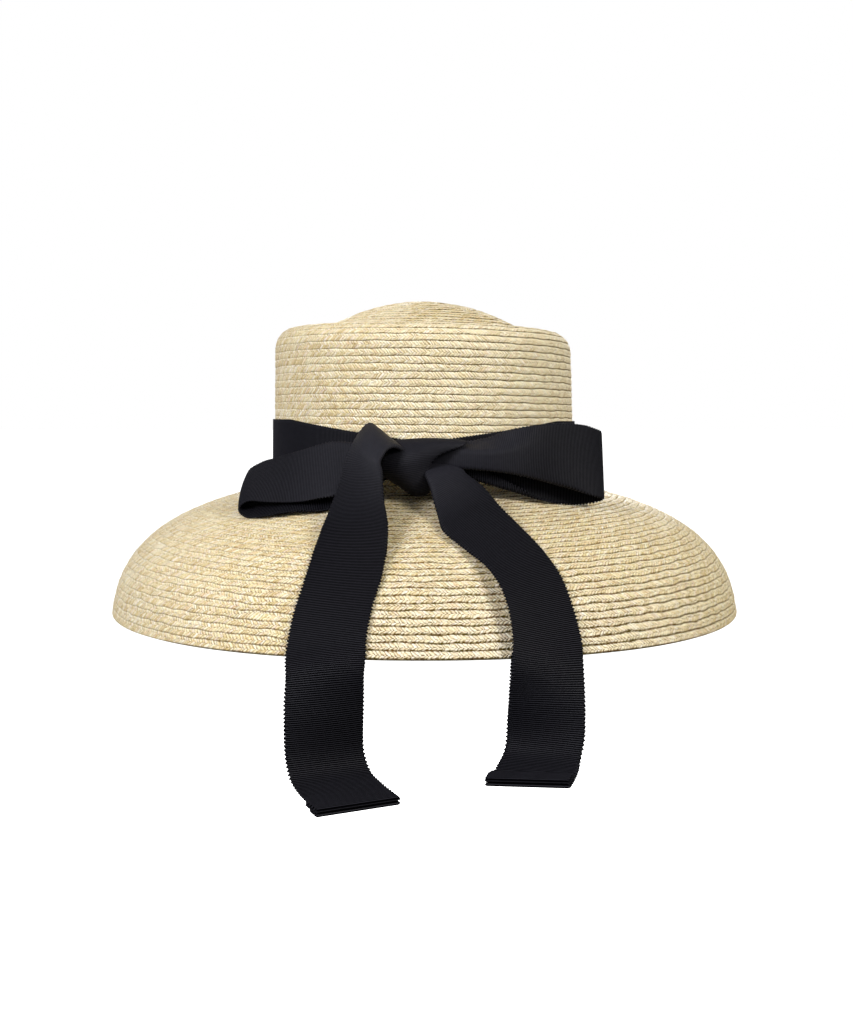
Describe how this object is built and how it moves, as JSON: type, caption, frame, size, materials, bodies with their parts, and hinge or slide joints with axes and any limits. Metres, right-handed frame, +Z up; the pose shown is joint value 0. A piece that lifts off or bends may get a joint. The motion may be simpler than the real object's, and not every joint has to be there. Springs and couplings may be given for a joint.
{
  "type": "straw cloche hat with ribbon bow",
  "caption": "Sewn straw hat with an upright crown, domed tip and wide down-turned bell brim, dressed with a dark ribbon band tied in a bow whose hemmed tails hang below the brim.",
  "frame": {"origin": "centre of the head opening, level with the line where the crown meets the brim", "axes": "+Z up out of the crown's tip, -Y towards the front where the bow is tied, +X to the viewer's right"},
  "size_m": [0.3724, 0.4391, 0.2405],
  "materials": {
    "straw": "natural wheat straw braid sewn in a spiral, soft waxy sheen",
    "ribbon": "near-black ribbed grosgrain, soft sheen"
  },
  "bodies": {
    "root": {"crown": "straw", "brim": "straw", "band": "ribbon", "knot": "ribbon", "bow_loop_left": "ribbon", "bow_loop_right": "ribbon", "tail_left": "ribbon", "tail_right": "ribbon"}
  },
  "joints": []
}
